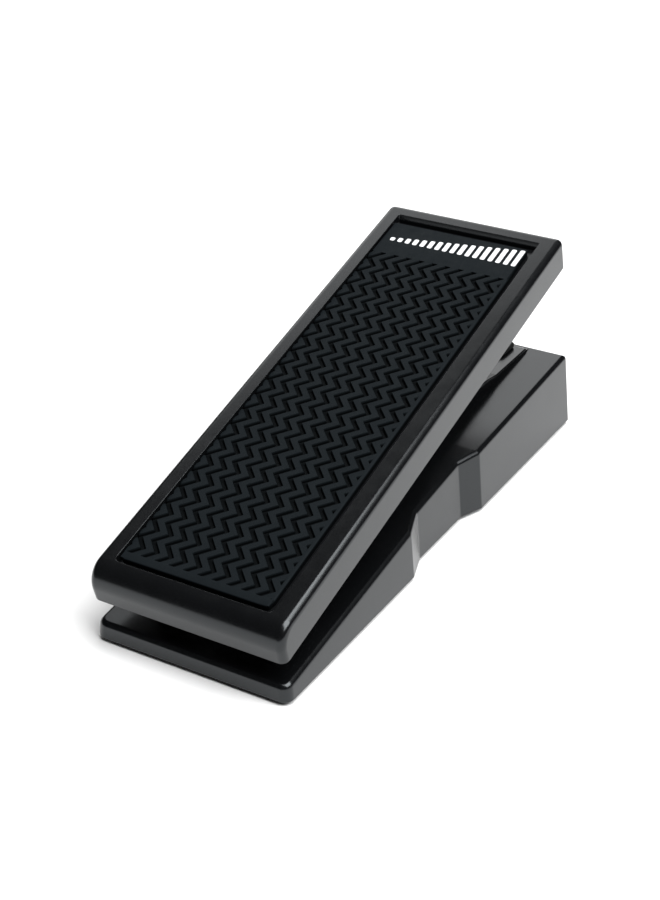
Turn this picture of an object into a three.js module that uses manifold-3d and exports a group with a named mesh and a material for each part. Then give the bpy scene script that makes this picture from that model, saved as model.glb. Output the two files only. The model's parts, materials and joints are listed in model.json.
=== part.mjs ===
// Expression pedal: a hollow treadle with a rubber tread mat rocks on an axle that a wedge-shaped
// base carries in a central tower. A toothed sector on the axle turns a potentiometer's pinion.
// Millimetres. X runs across the pedal, Y from heel to toe, Z up. The floor is z = 0.

import * as THREE from "three";
import { mergeVertices } from "three/addons/utils/BufferGeometryUtils.js";
import Module from "manifold-3d";

const wasm = await Module();
wasm.setup();

const GAP = 0.3; // clearance between pieces that touch

// ---- Driving dimensions: base ----
const BASE = {
  length: 270,
  width: 92.4,
  bottom: 1.5,
  wall: 3,
  corner: 4.5,
  sideDraft: 5,
  heelDraft: 2,
  toeDraft: 2.5,
  waistInset: 4.7,
  waist: [-31.9, -17.5, 22.5, 34.6], // where the waist starts, is full, stays full and ends
};
// Height of the base's top edge along Y.
const TOP_EDGE = [[-140, 8.4], [-31.9, 24.1], [34.6, 31], [140, 38.4]];

// ---- Driving dimensions: pivot and treadle ----
const PIVOT = { y: 0, z: 59 };
const TREADLE = {
  length: 263.2,
  width: 91.1,
  height: 15.9,
  tilt: 15.73,
  heel: [-135.45, 20.4], // the lower heel edge, as (y, z)
  corner: 4.5,
  nose: 8.2,
  toeRound: 2,
  wall: 2.8,
  deckUnder: 10.3,
};
const RECESS = { left: -37.6, right: 36.4, from: 9.9, to: 256, depth: 3.7, corner: 2.5 };
const RECESS_BEVEL = { run: 1.6, height: 2.7 }; // the recess's toe wall leans back to the rim
const MAT = { left: -37.1, right: 33.4, from: 12.9, to: 250.8, top: 14.8, corner: 2.5 };
const RIBS = { x: 36, along: 2.2, underside: 4, bars: [34, 62, 200, 228], barUnderside: 5.5, across: 2 };

// ---- Driving dimensions: tower, axle and gears ----
const HUMP = { halfWidth: 24.2, wall: 3, skin: 2.4, crown: 7.5, heel: -78, toe: 133 };
// The hump's top line either side of the axle as (y, z), and the share of a drop each point moves in.
const HUMP_TOE = [[133, 37.9, 1], [127, 39.3, 1], [94, 39.3, 1 / 4], [84, 40.8, 1 / 4], [24, 43.5, 1 / 3]];
const HUMP_HEEL = [[-24, 40, 1 / 3], [-52, 30, 1 / 2], [-78, 17, 1]];
const AXLE = { radius: 2.5, halfLength: 33.4 };
const BUSH = { radius: 3.9, flange: 5.6, flangeThick: 1 };
const LUG = { inner: 26, outer: 30.4, radius: 6.2 };
const GEAR = { module: 0.9, pressure: 25, backlash: 0.24, sectorTeeth: 72, pinionTeeth: 12 };
const SECTOR = { teeth: 10, before: 2, rim: 5, half: 2, hub: 4.5, hubHalf: 6, arm: 4, lean: 0.07 };
const PIN = { radius: 0.8, half: 4.4, at: 4.2, hole: 1.1 };
const POT = { radius: 8.5, front: 9.2, back: 17.4, bushing: 4.4, bushingFront: 4.2, shaft: 2.9 };
const BRACKET = { face: 7.6, end: 25, thick: 1.3, half: 11, top: 11, screwX: 21, screwY: 6 };

// ---- Driving dimensions: small parts ----
const PLATE = { thick: 1.5, underside: 1.8, margin: 0.4 };
const FEET = { x: 33, heel: -119, toe: 121, radius: 8, stem: 2.6, stemTop: 4.6 };
const SCREWS = [[-34, -92], [34, -92], [-33, -14], [33, -14], [-34, 96], [34, 96]];
const SCREW = { head: 3, shank: 1.4, pilot: 1.75, boss: 3.8, top: 8.5 };
const HEEL_STOP = { x: 26, y: -112, radius: 6, stem: 2.6, seat: 15.2, top: 25.9 };
const TOE_STOP = { halfWidth: 18.5, from: 112, to: 128, top: 41.8 };
const JACK = { x: 20, z: 19, bore: 3.3, thread: 4.4, washer: 7.6, nut: 7, halfWidth: 8, halfHeight: 7 };
const JACK_DEPTHS = { back: 106, blind: 108, shoulder: 130.2, tip: 138, washer: 134.9, nut: 135.8 };
const SWITCH = { x: -22, z: 19, travel: 4, slotHalf: 2.3, slotRise: 1.8, half: 8, rise: 4, back: 124.2 };
const LEVER = { half: 1.8, rise: 1.4, back: 126.4, front: 135.8 };
const KNOB = { y: 2.5, z: 14.5, radius: 8.4, shaft: 3, flutes: 18, flute: 0.7, outer: -45.9, inner: -41.5 };
const BOARD = { left: -29.5, right: 8, from: 70, to: 108, underside: 12, thick: 1.6 };
const BOARD_POSTS = [[-25, 78], [2, 100]];
const POST = { radius: 3, pilot: 1.5, underside: 13.9, pilotTop: 22, screwTop: 21, shank: 1.1 };
const WALL_CUT = { from: 128, to: 140 }; // an opening through the toe wall

const degrees = THREE.MathUtils.degToRad;
const FLOOR_OF_MAT = TREADLE.height - RECESS.depth;
const SECTOR_RADIUS = (GEAR.module * GEAR.sectorTeeth) / 2;
const PINION_RADIUS = (GEAR.module * GEAR.pinionTeeth) / 2;
const POT_Z = PIVOT.z - SECTOR_RADIUS - PINION_RADIUS;

// ---- Materials ----
const finish = (color, roughness, metalness = 0) =>
  new THREE.MeshStandardMaterial({ color, roughness, metalness });
const blackPlastic = () => finish(0x202224, 0.42);
const matRubber = () => finish(0x1c2226, 0.8);
const softRubber = () => finish(0x141414, 0.9);
const steel = () => finish(0xb4b6b8, 0.35, 1);
const zincPlate = () => finish(0x8f9194, 0.45, 1);
const brass = () => finish(0xb08d4a, 0.35, 1);
const whiteAcetal = () => finish(0xe6e3da, 0.5);
const greenBoard = () => finish(0x1f5a38, 0.5);

// ---- Joining and cutting ----
function solid(geometry) {
  const bare = geometry.clone();
  bare.deleteAttribute("normal");
  bare.deleteAttribute("uv");
  const merged = mergeVertices(bare, 1e-5);
  const vertProperties = new Float32Array(merged.attributes.position.array);
  const triVerts = new Uint32Array(merged.index.array);
  return new wasm.Manifold(new wasm.Mesh({ numProp: 3, vertProperties, triVerts }));
}

function geometryOf(manifold) {
  const { vertProperties, triVerts } = manifold.getMesh();
  const geometry = new THREE.BufferGeometry();
  geometry.setAttribute("position", new THREE.BufferAttribute(vertProperties, 3));
  geometry.setIndex(new THREE.BufferAttribute(triVerts, 1));
  return geometry;
}

const join = (...geometries) => geometries.map(solid).reduce((a, b) => a.add(b));
const cut = (body, ...geometries) => geometries.map(solid).reduce((a, b) => a.subtract(b), body);

// ---- Basic solids ----
function box(x0, x1, y0, y1, z0, z1) {
  const shape = new THREE.BoxGeometry(x1 - x0, y1 - y0, z1 - z0);
  return shape.translate((x0 + x1) / 2, (y0 + y1) / 2, (z0 + z1) / 2);
}

function rod(radius, from, to, axis, centre, sides = 24) {
  const shape = new THREE.CylinderGeometry(radius, radius, to - from, sides);
  shape.translate(0, (from + to) / 2, 0);
  if (axis === "x") shape.rotateZ(-Math.PI / 2);
  if (axis === "z") shape.rotateX(Math.PI / 2);
  return shape.translate(...centre);
}

const rodX = (radius, x0, x1, y, z, sides) => rod(radius, x0, x1, "x", [0, y, z], sides);
const rodY = (radius, y0, y1, x, z, sides) => rod(radius, y0, y1, "y", [x, 0, z], sides);
const rodZ = (radius, z0, z1, x, y, sides) => rod(radius, z0, z1, "z", [x, y, 0], sides);

// A body of revolution; the profile is a list of (radius, height) along Z.
function turned(profile, sides = 24) {
  const points = profile.map(([radius, height]) => new THREE.Vector2(radius, height));
  return new THREE.LatheGeometry(points, sides).rotateX(Math.PI / 2);
}

function plan(shape, z0, z1, curveSegments = 4) {
  const options = { depth: z1 - z0, bevelEnabled: false, curveSegments };
  return new THREE.ExtrudeGeometry(shape, options).translate(0, 0, z0);
}

// Extrudes a (y, z) outline along X.
function across(shape, x0, x1, curveSegments = 8) {
  const options = { depth: x1 - x0, bevelEnabled: false, curveSegments };
  const body = new THREE.ExtrudeGeometry(shape, options).translate(0, 0, x0);
  const [x, y, z] = [new THREE.Vector3(1, 0, 0), new THREE.Vector3(0, 1, 0), new THREE.Vector3(0, 0, 1)];
  return body.applyMatrix4(new THREE.Matrix4().makeBasis(y, z, x));
}

// Extrudes an (x, z) outline along Y.
function along(shape, y0, y1, curveSegments = 10) {
  const options = { depth: y1 - y0, bevelEnabled: false, curveSegments };
  return new THREE.ExtrudeGeometry(shape, options).rotateX(Math.PI / 2).translate(0, y1, 0);
}

const outline = (points) => new THREE.Shape(points.map(([u, v]) => new THREE.Vector2(u, v)));

function roundedRectangle(x0, x1, y0, y1, radius) {
  const shape = new THREE.Shape();
  shape.absarc(x1 - radius, y0 + radius, radius, -Math.PI / 2, 0);
  shape.absarc(x1 - radius, y1 - radius, radius, 0, Math.PI / 2);
  shape.absarc(x0 + radius, y1 - radius, radius, Math.PI / 2, Math.PI);
  shape.absarc(x0 + radius, y0 + radius, radius, Math.PI, Math.PI * 1.5);
  return shape;
}

function hexagon(radius, hole) {
  const corners = Array.from({ length: 6 }, (_, i) => [
    radius * Math.cos((i * Math.PI) / 3),
    radius * Math.sin((i * Math.PI) / 3),
  ]);
  const shape = outline(corners);
  shape.holes.push(new THREE.Path().absarc(0, 0, hole, 0, Math.PI * 2, true));
  return shape;
}

function piece(name, body, material) {
  const geometry = body.isBufferGeometry ? body : geometryOf(body);
  const mesh = new THREE.Mesh(geometry, material);
  mesh.name = name;
  return mesh;
}

// ---- Base outline ----
// The base seen from above, drawn in by inset all round.
function baseOutline(inset) {
  const half = BASE.width / 2 - inset;
  const end = BASE.length / 2 - inset;
  const round = Math.max(BASE.corner - inset, 1);
  const waist = half - BASE.waistInset;
  const [start, full, leave, stop] = BASE.waist;
  const shape = new THREE.Shape();
  shape.absarc(half - round, -end + round, round, -Math.PI / 2, 0);
  [[half, start], [waist, full], [waist, leave], [half, stop]].forEach(([x, y]) => shape.lineTo(x, y));
  shape.absarc(half - round, end - round, round, 0, Math.PI / 2);
  shape.absarc(-half + round, end - round, round, Math.PI / 2, Math.PI);
  [[-half, stop], [-waist, leave], [-waist, full], [-half, start]].forEach(([x, y]) => shape.lineTo(x, y));
  shape.absarc(-half + round, -end + round, round, Math.PI, Math.PI * 1.5);
  return shape;
}

// Tapers an extruded plan so that its walls lean in by the base's drafts.
function withDraft(geometry) {
  const position = geometry.attributes.position;
  const side = Math.tan(degrees(BASE.sideDraft)) / (BASE.width / 2);
  for (let i = 0; i < position.count; i += 1) {
    const rise = position.getZ(i) - BASE.bottom;
    const y = position.getY(i);
    const draft = y > 0 ? BASE.toeDraft : BASE.heelDraft;
    const end = Math.tan(degrees(draft)) / (BASE.length / 2);
    position.setX(i, position.getX(i) * (1 - side * rise));
    position.setY(i, y * (1 - end * rise));
  }
  return geometry;
}

// Everything below the base's top surface, lowered by drop.
function belowTop(drop) {
  const bottom = BASE.bottom - 10;
  const points = TOP_EDGE.map(([y, z]) => [y, z - drop]);
  return across(outline([[-140, bottom], [140, bottom], ...points.reverse()]), -60, 60);
}

function humpOutline(drop) {
  const sunk = ([y, z, share]) => [y - Math.sign(y) * share * drop, z - drop];
  const shape = new THREE.Shape();
  shape.moveTo(HUMP.heel + drop, BASE.bottom + 1);
  shape.lineTo(HUMP.toe - drop, BASE.bottom + 1);
  HUMP_TOE.map(sunk).forEach(([y, z]) => shape.lineTo(y, z));
  shape.absarc(PIVOT.y, PIVOT.z, HUMP.crown - drop, degrees(25), degrees(155));
  HUMP_HEEL.map(sunk).forEach(([y, z]) => shape.lineTo(y, z));
  return shape;
}

function baseShell() {
  const { halfWidth, wall } = HUMP;
  const skirt = withDraft(plan(baseOutline(0), BASE.bottom, 60));
  const outer = solid(skirt)
    .intersect(solid(belowTop(0)))
    .add(solid(across(humpOutline(0), -halfWidth, halfWidth)));
  const hollow = solid(withDraft(plan(baseOutline(BASE.wall), BASE.bottom - 1, 60)))
    .intersect(solid(belowTop(BASE.wall)))
    .add(solid(across(humpOutline(HUMP.skin), -halfWidth + wall, halfWidth - wall)));
  const bosses = SCREWS.map(([x, y]) => rodZ(SCREW.boss, 3.7, 50, x, y, 16));
  const posts = BOARD_POSTS.map(([x, y]) => rodZ(POST.radius, POST.underside, 50, x, y, 16));
  const filled = outer.subtract(hollow).add(join(...bosses, ...posts).intersect(outer));
  const seats = [-1, 1].map((side) => rodZ(7.4, 10, HEEL_STOP.seat, side * HEEL_STOP.x, HEEL_STOP.y));
  const jackHole = rodY(JACK.thread + 0.4, WALL_CUT.from, WALL_CUT.to, JACK.x, JACK.z);
  const slot = switchSlot(WALL_CUT.from, WALL_CUT.to);
  const knobHole = rodX(KNOB.shaft + 0.5, -50, -35, KNOB.y, KNOB.z);
  const pilots = SCREWS.map(([x, y]) => rodZ(SCREW.pilot, 3, SCREW.top + 0.5, x, y, 12));
  const postPilots = BOARD_POSTS.map(([x, y]) => rodZ(POST.pilot, 13, POST.pilotTop, x, y, 12));
  const bushHoles = rodX(BUSH.radius + GAP, -30, 30, PIVOT.y, PIVOT.z);
  const stems = [-1, 1].map((side) => rodZ(HEEL_STOP.stem + GAP, 6, 20, side * HEEL_STOP.x, HEEL_STOP.y, 16));
  const shell = filled.add(join(...seats));
  return cut(shell, jackHole, slot, knobHole, bushHoles, ...pilots, ...postPilots, ...stems);
}

function bottomPlate() {
  const blank = withDraft(plan(baseOutline(BASE.wall + PLATE.margin), BASE.bottom - 1, BASE.bottom + 5));
  const slice = box(-60, 60, -150, 150, PLATE.underside, PLATE.underside + PLATE.thick);
  const screwHoles = SCREWS.map(([x, y]) => rodZ(SCREW.shank + 0.4, 0, 5, x, y, 12));
  const footHoles = footCentres().map(([, x, y]) => rodZ(FEET.stem + GAP, 0, 5, x, y, 16));
  return cut(solid(blank).intersect(solid(slice)), ...screwHoles, ...footHoles);
}

const footCentres = () => [
  ["foot_heel_left", -FEET.x, FEET.heel],
  ["foot_heel_right", FEET.x, FEET.heel],
  ["foot_toe_left", -FEET.x, FEET.toe],
  ["foot_toe_right", FEET.x, FEET.toe],
];

function foot(x, y) {
  const rim = BASE.bottom - 0.4;
  const profile = [
    [0, 0], [FEET.radius - 0.4, 0], [FEET.radius, 0.4], [FEET.radius, rim],
    [FEET.radius - 0.4, BASE.bottom], [FEET.stem, BASE.bottom], [FEET.stem, FEET.stemTop], [0, FEET.stemTop],
  ];
  return turned(profile, 16).translate(x, y, 0);
}

// A pan-head screw driven up from below, its head's underside at z.
function screw(x, y, z, top, shank = SCREW.shank) {
  const head = shank * 2;
  const underHead = [[0, z - 1], [head * 0.8, z - 1], [head, z - 0.5], [head, z]];
  const profile = [...underHead, [shank, z], [shank, top], [0, top]];
  return turned(profile, 8).translate(x, y, 0);
}

// ---- Treadle, in its own frame: X across, Y along its lower edge from heel to toe, Z square to it ----
function treadleProfile() {
  const { length, height, nose, toeRound } = TREADLE;
  const shape = new THREE.Shape();
  shape.moveTo(0, 0);
  shape.lineTo(length, 0);
  shape.absarc(length - toeRound, height - toeRound, toeRound, 0, Math.PI / 2);
  shape.absarc(nose, height - nose, nose, Math.PI / 2, Math.PI);
  return shape;
}

// The point of the treadle's own frame that lies on the pivot axis.
function pivotOnTreadle() {
  const tilt = degrees(TREADLE.tilt);
  const [dy, dz] = [PIVOT.y - TREADLE.heel[0], PIVOT.z - TREADLE.heel[1]];
  return [dy * Math.cos(tilt) + dz * Math.sin(tilt), dz * Math.cos(tilt) - dy * Math.sin(tilt)];
}

function recessCutter() {
  const { left, right, from, to, corner } = RECESS;
  const foot = to - RECESS_BEVEL.run;
  const lean = TREADLE.height - RECESS_BEVEL.height;
  const straight = plan(roundedRectangle(left, right, from, foot, corner), FLOOR_OF_MAT, 20);
  const toeWall = [[to - 20, FLOOR_OF_MAT], [foot, FLOOR_OF_MAT], [foot, lean], [to, TREADLE.height]];
  return join(straight, across(outline([...toeWall, [to, 20], [to - 20, 20]]), left, right));
}

function treadleShell() {
  const { length, width, corner, wall, deckUnder } = TREADLE;
  const half = width / 2;
  const [pivotY, pivotZ] = pivotOnTreadle();
  const outer = solid(across(treadleProfile(), -half, half)).intersect(
    solid(plan(roundedRectangle(-half, half, 0, length, corner), -1, 20)),
  );
  const inner = roundedRectangle(-half + wall, half - wall, wall, length - wall, 2);
  const shell = outer.subtract(solid(plan(inner, -1, deckUnder))).subtract(recessCutter());
  const stops = heelStopPads();
  const ribs = [-1, 1].map((side) => {
    const [x, thick] = [side * RIBS.x, RIBS.along / 2];
    return box(x - thick, x + thick, wall - 0.5, length - wall + 0.5, RIBS.underside, deckUnder + 0.5);
  });
  const thin = RIBS.across / 2;
  const bars = RIBS.bars.map((y) =>
    box(-half + 2, half - 2, y - thin, y + thin, RIBS.barUnderside, deckUnder + 0.5),
  );
  const lugs = [-1, 1].map((side) => lug(side, pivotY, pivotZ));
  const holes = [-1, 1].map((side) => axleEnd(side, GAP).translate(0, pivotY, pivotZ));
  return cut(shell.add(join(...ribs, ...bars, ...stops, ...lugs)), ...holes);
}

// Pads under the deck that come down on the heel stops.
function heelStopPads() {
  const tilt = degrees(TREADLE.tilt);
  const along = (HEEL_STOP.y - TREADLE.heel[0]) / Math.cos(tilt) + 1.5;
  return [-1, 1].map((side) => rodZ(7, 1, TREADLE.deckUnder + 0.5, side * HEEL_STOP.x, along));
}

function lug(side, y, z) {
  const shape = new THREE.Shape();
  shape.moveTo(y + 11, TREADLE.deckUnder + 0.5);
  shape.lineTo(y - 11, TREADLE.deckUnder + 0.5);
  shape.absarc(y, z, LUG.radius, degrees(190), degrees(350));
  const [x0, x1] = side > 0 ? [LUG.inner, LUG.outer] : [-LUG.outer, -LUG.inner];
  return across(shape, x0, x1);
}

// The flatted end of the axle, grown all round by extra.
function axleEnd(side, extra) {
  const radius = AXLE.radius + extra;
  const shape = new THREE.Shape().absarc(0, 0, radius, degrees(130), degrees(410));
  const [x0, x1] = side > 0 ? [LUG.inner - 0.4, AXLE.halfLength] : [-AXLE.halfLength, -LUG.inner + 0.4];
  return across(shape, x0 - (side < 0 ? extra : 0), x1 + (side > 0 ? extra : 0), 12);
}

function treadMat() {
  const { left, right, from, to, top, corner } = MAT;
  return plan(roundedRectangle(left, right, from, to, corner), FLOOR_OF_MAT + GAP, top);
}

// ---- Axle, bushings and gears; the origin is on the pivot axis ----
function pivotAxle() {
  const shank = rodX(AXLE.radius, -LUG.inner + 0.3, LUG.inner - 0.3, 0, 0, 16);
  const whole = join(shank, axleEnd(1, 0), axleEnd(-1, 0));
  const grooves = [-1, 1].map((side) => clipRing(side, AXLE.radius + 1, 1.9, 0.15));
  const pinHole = rodZ(PIN.hole, -5, 5, PIN.at, 0, 10).rotateX(-degrees(TREADLE.tilt));
  return cut(whole, ...grooves, pinHole);
}

function clipRing(side, outer, inner, extra) {
  const shape = new THREE.Shape().absarc(0, 0, outer, 0, Math.PI * 2);
  shape.holes.push(new THREE.Path().absarc(0, 0, inner, 0, Math.PI * 2, true));
  const centre = side * (LUG.outer + 1);
  return across(shape, centre - 0.4 - extra, centre + 0.4 + extra, 10);
}

function retainingClip(side) {
  const slot = box(-40, 40, -1.5, 1.5, 0, 8);
  return cut(solid(clipRing(side, 4.8, 2.2, 0)), slot);
}

function bushing(side) {
  const outside = HUMP.halfWidth + GAP;
  const profile = [
    [AXLE.radius + 0.2, HUMP.halfWidth - HUMP.wall], [BUSH.radius, HUMP.halfWidth - HUMP.wall],
    [BUSH.radius, outside], [BUSH.flange, outside], [BUSH.flange, outside + BUSH.flangeThick],
    [AXLE.radius + 0.2, outside + BUSH.flangeThick], [AXLE.radius + 0.2, HUMP.halfWidth - HUMP.wall],
  ];
  return turned(profile, 32).rotateY((side * Math.PI) / 2);
}

// Points along the outside of involute teeth, anticlockwise; tooth 0 is centred on angle first.
function toothedEdge(teeth, first, count) {
  const { module: size, backlash } = GEAR;
  const pressure = degrees(GEAR.pressure);
  const pitch = (size * teeth) / 2;
  const base = pitch * Math.cos(pressure);
  const involute = (angle) => Math.tan(angle) - angle;
  const halfTooth = (radius) => {
    const local = Math.acos(Math.min(1, base / radius));
    return Math.PI / (2 * teeth) - backlash / (4 * pitch) + involute(pressure) - involute(local);
  };
  const root = pitch - 1.25 * size;
  const tip = pitch + size;
  const start = Math.max(base, root);
  const levels = [start, (start + pitch) / 2, pitch, (pitch + tip) / 2, tip];
  const points = [];
  for (let i = 0; i < count; i += 1) {
    const centre = first + (i * 2 * Math.PI) / teeth;
    const rising = levels.map((radius) => [radius, centre - halfTooth(radius)]);
    const falling = [...levels].reverse().map((radius) => [radius, centre + halfTooth(radius)]);
    points.push([root, centre - halfTooth(start)], ...rising, ...falling, [root, centre + halfTooth(start)]);
  }
  return points.map(([radius, angle]) => [radius * Math.cos(angle), radius * Math.sin(angle)]);
}

function sectorGear() {
  const down = -Math.PI / 2;
  const step = (2 * Math.PI) / GEAR.sectorTeeth;
  const { teeth: count, before, half, hub, hubHalf, lean } = SECTOR;
  const inner = SECTOR_RADIUS - SECTOR.rim;
  const [from, to] = [down - (before + 0.5) * step, down + (count - before - 0.5) * step];
  const arc = new THREE.Shape().absarc(0, 0, inner, to, from, true);
  const teeth = toothedEdge(GEAR.sectorTeeth, down - before * step, count);
  const rim = outline([...teeth, ...arc.getPoints(8).map((point) => [point.x, point.y])]);
  const arms = [sectorArm(from + lean, inner + 1.5), sectorArm(to - lean, inner + 1.5)];
  const body = join(
    across(rim, -half, half),
    ...arms.map((arm) => across(arm, -half, half)),
    rodX(hub, -hubHalf, hubHalf, 0, 0, 32),
  );
  return cut(body, rodX(AXLE.radius + GAP, -8, 8, 0, 0, 32), rodZ(PIN.hole, -6, 6, PIN.at, 0, 10));
}

// A straight bar from the hub's centre out to reach, seen along the axle.
function sectorArm(angle, reach) {
  const half = SECTOR.arm / 2;
  const [c, s] = [Math.cos(angle), Math.sin(angle)];
  const at = (along, aside) => [c * along - s * aside, s * along + c * aside];
  return outline([at(0, half), at(0, -half), at(reach, -half), at(reach, half)]);
}

function pinion() {
  const step = (2 * Math.PI) / GEAR.pinionTeeth;
  const shape = outline(toothedEdge(GEAR.pinionTeeth, Math.PI / 2 + step / 2, GEAR.pinionTeeth));
  shape.holes.push(new THREE.Path().absarc(0, 0, POT.shaft + 0.25, 0, Math.PI * 2, true));
  return across(shape, -3, 3, 16);
}

// ---- Potentiometer; the origin is on the shaft's axis ----
function potBody() {
  const { radius, front, back, bushing: thread, bushingFront, shaft } = POT;
  const hole = shaft + GAP;
  const profile = [
    [0, back], [radius, back], [radius, front], [thread, front], [thread, bushingFront],
    [hole, bushingFront], [hole, back - 2], [0, back - 2],
  ];
  const can = turned([...profile].reverse(), 20).rotateY(Math.PI / 2);
  return join(can, box(12, 15, 6, 12.5, -3.5, 3.5));
}

const potShaft = () => rodX(POT.shaft, -4, POT.back - 2.5, 0, 0);

const potNut = () => across(hexagon(7, POT.bushing + GAP), 6, 7.3, 12);

function potBracket() {
  const { face, end, thick, half, top, screwX, screwY } = BRACKET;
  const floor = PLATE.underside + PLATE.thick + GAP - POT_Z;
  const foot = [[face, floor], [end, floor], [end, floor + thick], [face + thick, floor + thick]];
  const angle = outline([...foot, [face + thick, top], [face, top]]);
  const shaftHole = rodX(POT.bushing + GAP, 0, 12, 0, 0);
  const screwHoles = [-screwY, screwY].map((y) => rodZ(1.5, floor - 1, floor + 3, screwX, y, 12));
  return cut(solid(along(angle, -half, half)), shaftHole, ...screwHoles);
}

const bracketScrew = (y) => {
  const head = PLATE.underside + PLATE.thick + GAP + BRACKET.thick + GAP;
  const shank = [[0, head - 1], [1.2, head - 1], [1.2, head]];
  const profile = [...shank, [2.4, head], [2.4, head + 0.8], [1.6, head + 1.2], [0, head + 1.2]];
  return turned(profile, 12).translate(BRACKET.screwX, y, 0);
};

// ---- Jack, switch and knob ----
function jackSocket() {
  const { x, z, thread, bore, halfWidth, halfHeight } = JACK;
  const { back, blind, shoulder, tip } = JACK_DEPTHS;
  const block = box(x - halfWidth, x + halfWidth, back, shoulder, z - halfHeight, z + halfHeight);
  return cut(join(block, rodY(thread, shoulder - 0.2, tip, x, z)), rodY(bore, blind, tip + 2, x, z));
}

const jackRing = (shape, y0, y1) => along(shape, y0, y1).translate(JACK.x, 0, JACK.z);

function jackWasher() {
  const shape = new THREE.Shape().absarc(0, 0, JACK.washer, 0, Math.PI * 2);
  shape.holes.push(new THREE.Path().absarc(0, 0, JACK.thread + GAP, 0, Math.PI * 2, true));
  return jackRing(shape, JACK_DEPTHS.washer, JACK_DEPTHS.washer + 0.6);
}

const jackNut = () => jackRing(hexagon(JACK.nut, JACK.thread + GAP), JACK_DEPTHS.nut, JACK_DEPTHS.nut + 1.9);

// The space the switch's lever sweeps, from y0 to y1.
function switchSlot(y0, y1) {
  const { x, z, travel, slotHalf, slotRise } = SWITCH;
  return box(x - slotHalf, x + travel + slotHalf, y0, y1, z - slotRise, z + slotRise);
}

function switchHousing() {
  const { x, z, travel, half, rise, back } = SWITCH;
  const middle = x + travel / 2;
  const body = box(middle - half, middle + half, back, back + 6.2, z - rise, z + rise);
  return cut(solid(body), switchSlot(back + 1.8, back + 8));
}

function switchSlider() {
  const { half, rise, back, front } = LEVER;
  return box(SWITCH.x - half, SWITCH.x + half, back, front, SWITCH.z - rise, SWITCH.z + rise);
}

function rangeKnob() {
  const { flutes, flute, outer, inner } = KNOB;
  const points = Array.from({ length: flutes * 2 }, (_, i) => {
    const radius = KNOB.radius - (i % 2) * flute;
    const angle = (i * Math.PI) / flutes;
    return [radius * Math.cos(angle), radius * Math.sin(angle)];
  });
  const disc = across(outline(points), outer, inner);
  const blind = rodX(KNOB.shaft + 0.25, outer + 1.9, inner + 1.5, 0, 0);
  const pointer = box(outer - 0.6, outer + 0.6, -0.6, 0.6, 2.5, 9);
  return cut(solid(disc), blind, pointer);
}

const rangeShaft = () => rodX(KNOB.shaft, -43.8, -32.5, 0, 0);

function rangePot() {
  const body = box(-37, -31, -6, 6, -6, 6);
  return cut(solid(body), rodX(KNOB.shaft + GAP, -40, -32.2, 0, 0));
}

// ---- Circuit board ----
function circuitBoard() {
  const { left, right, from, to, underside, thick } = BOARD;
  const holes = BOARD_POSTS.map(([x, y]) => rodZ(1.7, 0, 20, x, y, 12));
  return cut(solid(box(left, right, from, to, underside, underside + thick)), ...holes);
}

const boardTop = BOARD.underside + BOARD.thick + GAP;
const boardConnector = () => box(-12, 0, 72.5, 78, boardTop, boardTop + 6);
const boardChip = () => box(-20, -10, 90, 96, boardTop, boardTop + 1.8);
const boardCapacitor = () => rodZ(3.2, boardTop, boardTop + 8, -26, 94, 20);

// The flat ribbon lead from the potentiometer's tags to the board's connector.
function ribbonCable() {
  const route = new THREE.CatmullRomCurve3([
    new THREE.Vector3(13.5, 13.2, 18.5),
    new THREE.Vector3(13, 20, 13),
    new THREE.Vector3(8, 36, 7.5),
    new THREE.Vector3(-1, 54, 8.5),
    new THREE.Vector3(-6, 64, 14),
    new THREE.Vector3(-6, 71.5, 17),
  ]);
  const section = outline([[-0.4, -2.4], [0.4, -2.4], [0.4, 2.4], [-0.4, 2.4]]);
  return new THREE.ExtrudeGeometry(section, { extrudePath: route, steps: 16 });
}

// ---- Assembly ----
function treadleGroup() {
  const group = new THREE.Group();
  group.position.set(0, ...TREADLE.heel);
  group.rotation.x = degrees(TREADLE.tilt);
  group.add(piece("treadle_shell", treadleShell(), blackPlastic()));
  group.add(piece("tread_mat", treadMat(), matRubber()));
  const [pivotY, pivotZ] = pivotOnTreadle();
  const onAxis = [
    piece("pivot_axle", pivotAxle(), steel()),
    piece("axle_clip_left", retainingClip(-1), steel()),
    piece("axle_clip_right", retainingClip(1), steel()),
  ];
  onAxis.forEach((mesh) => mesh.position.set(0, pivotY, pivotZ));
  group.add(...onAxis);
  return group;
}

function driveGroup() {
  const group = new THREE.Group();
  const onPivot = [
    piece("axle_bushing_left", bushing(-1), brass()),
    piece("axle_bushing_right", bushing(1), brass()),
    piece("sector_gear", sectorGear(), whiteAcetal()),
  ];
  onPivot.forEach((mesh) => mesh.position.set(0, PIVOT.y, PIVOT.z));
  const pin = piece("sector_pin", rodX(PIN.radius, -PIN.half, PIN.half, 0, 0, 10), steel());
  pin.rotation.set(0, Math.PI / 2, 0);
  pin.position.set(PIN.at, PIVOT.y, PIVOT.z);
  const onShaft = [
    piece("drive_pinion", pinion(), whiteAcetal()),
    piece("potentiometer_shaft", potShaft(), steel()),
    piece("potentiometer_body", potBody(), zincPlate()),
    piece("potentiometer_nut", potNut(), zincPlate()),
    piece("potentiometer_bracket", potBracket(), zincPlate()),
  ];
  onShaft.forEach((mesh) => mesh.position.set(0, PIVOT.y, POT_Z));
  group.add(...onPivot, pin, ...onShaft);
  group.add(piece("bracket_screw_heel", bracketScrew(-BRACKET.screwY), steel()));
  group.add(piece("bracket_screw_toe", bracketScrew(BRACKET.screwY), steel()));
  return group;
}

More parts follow.
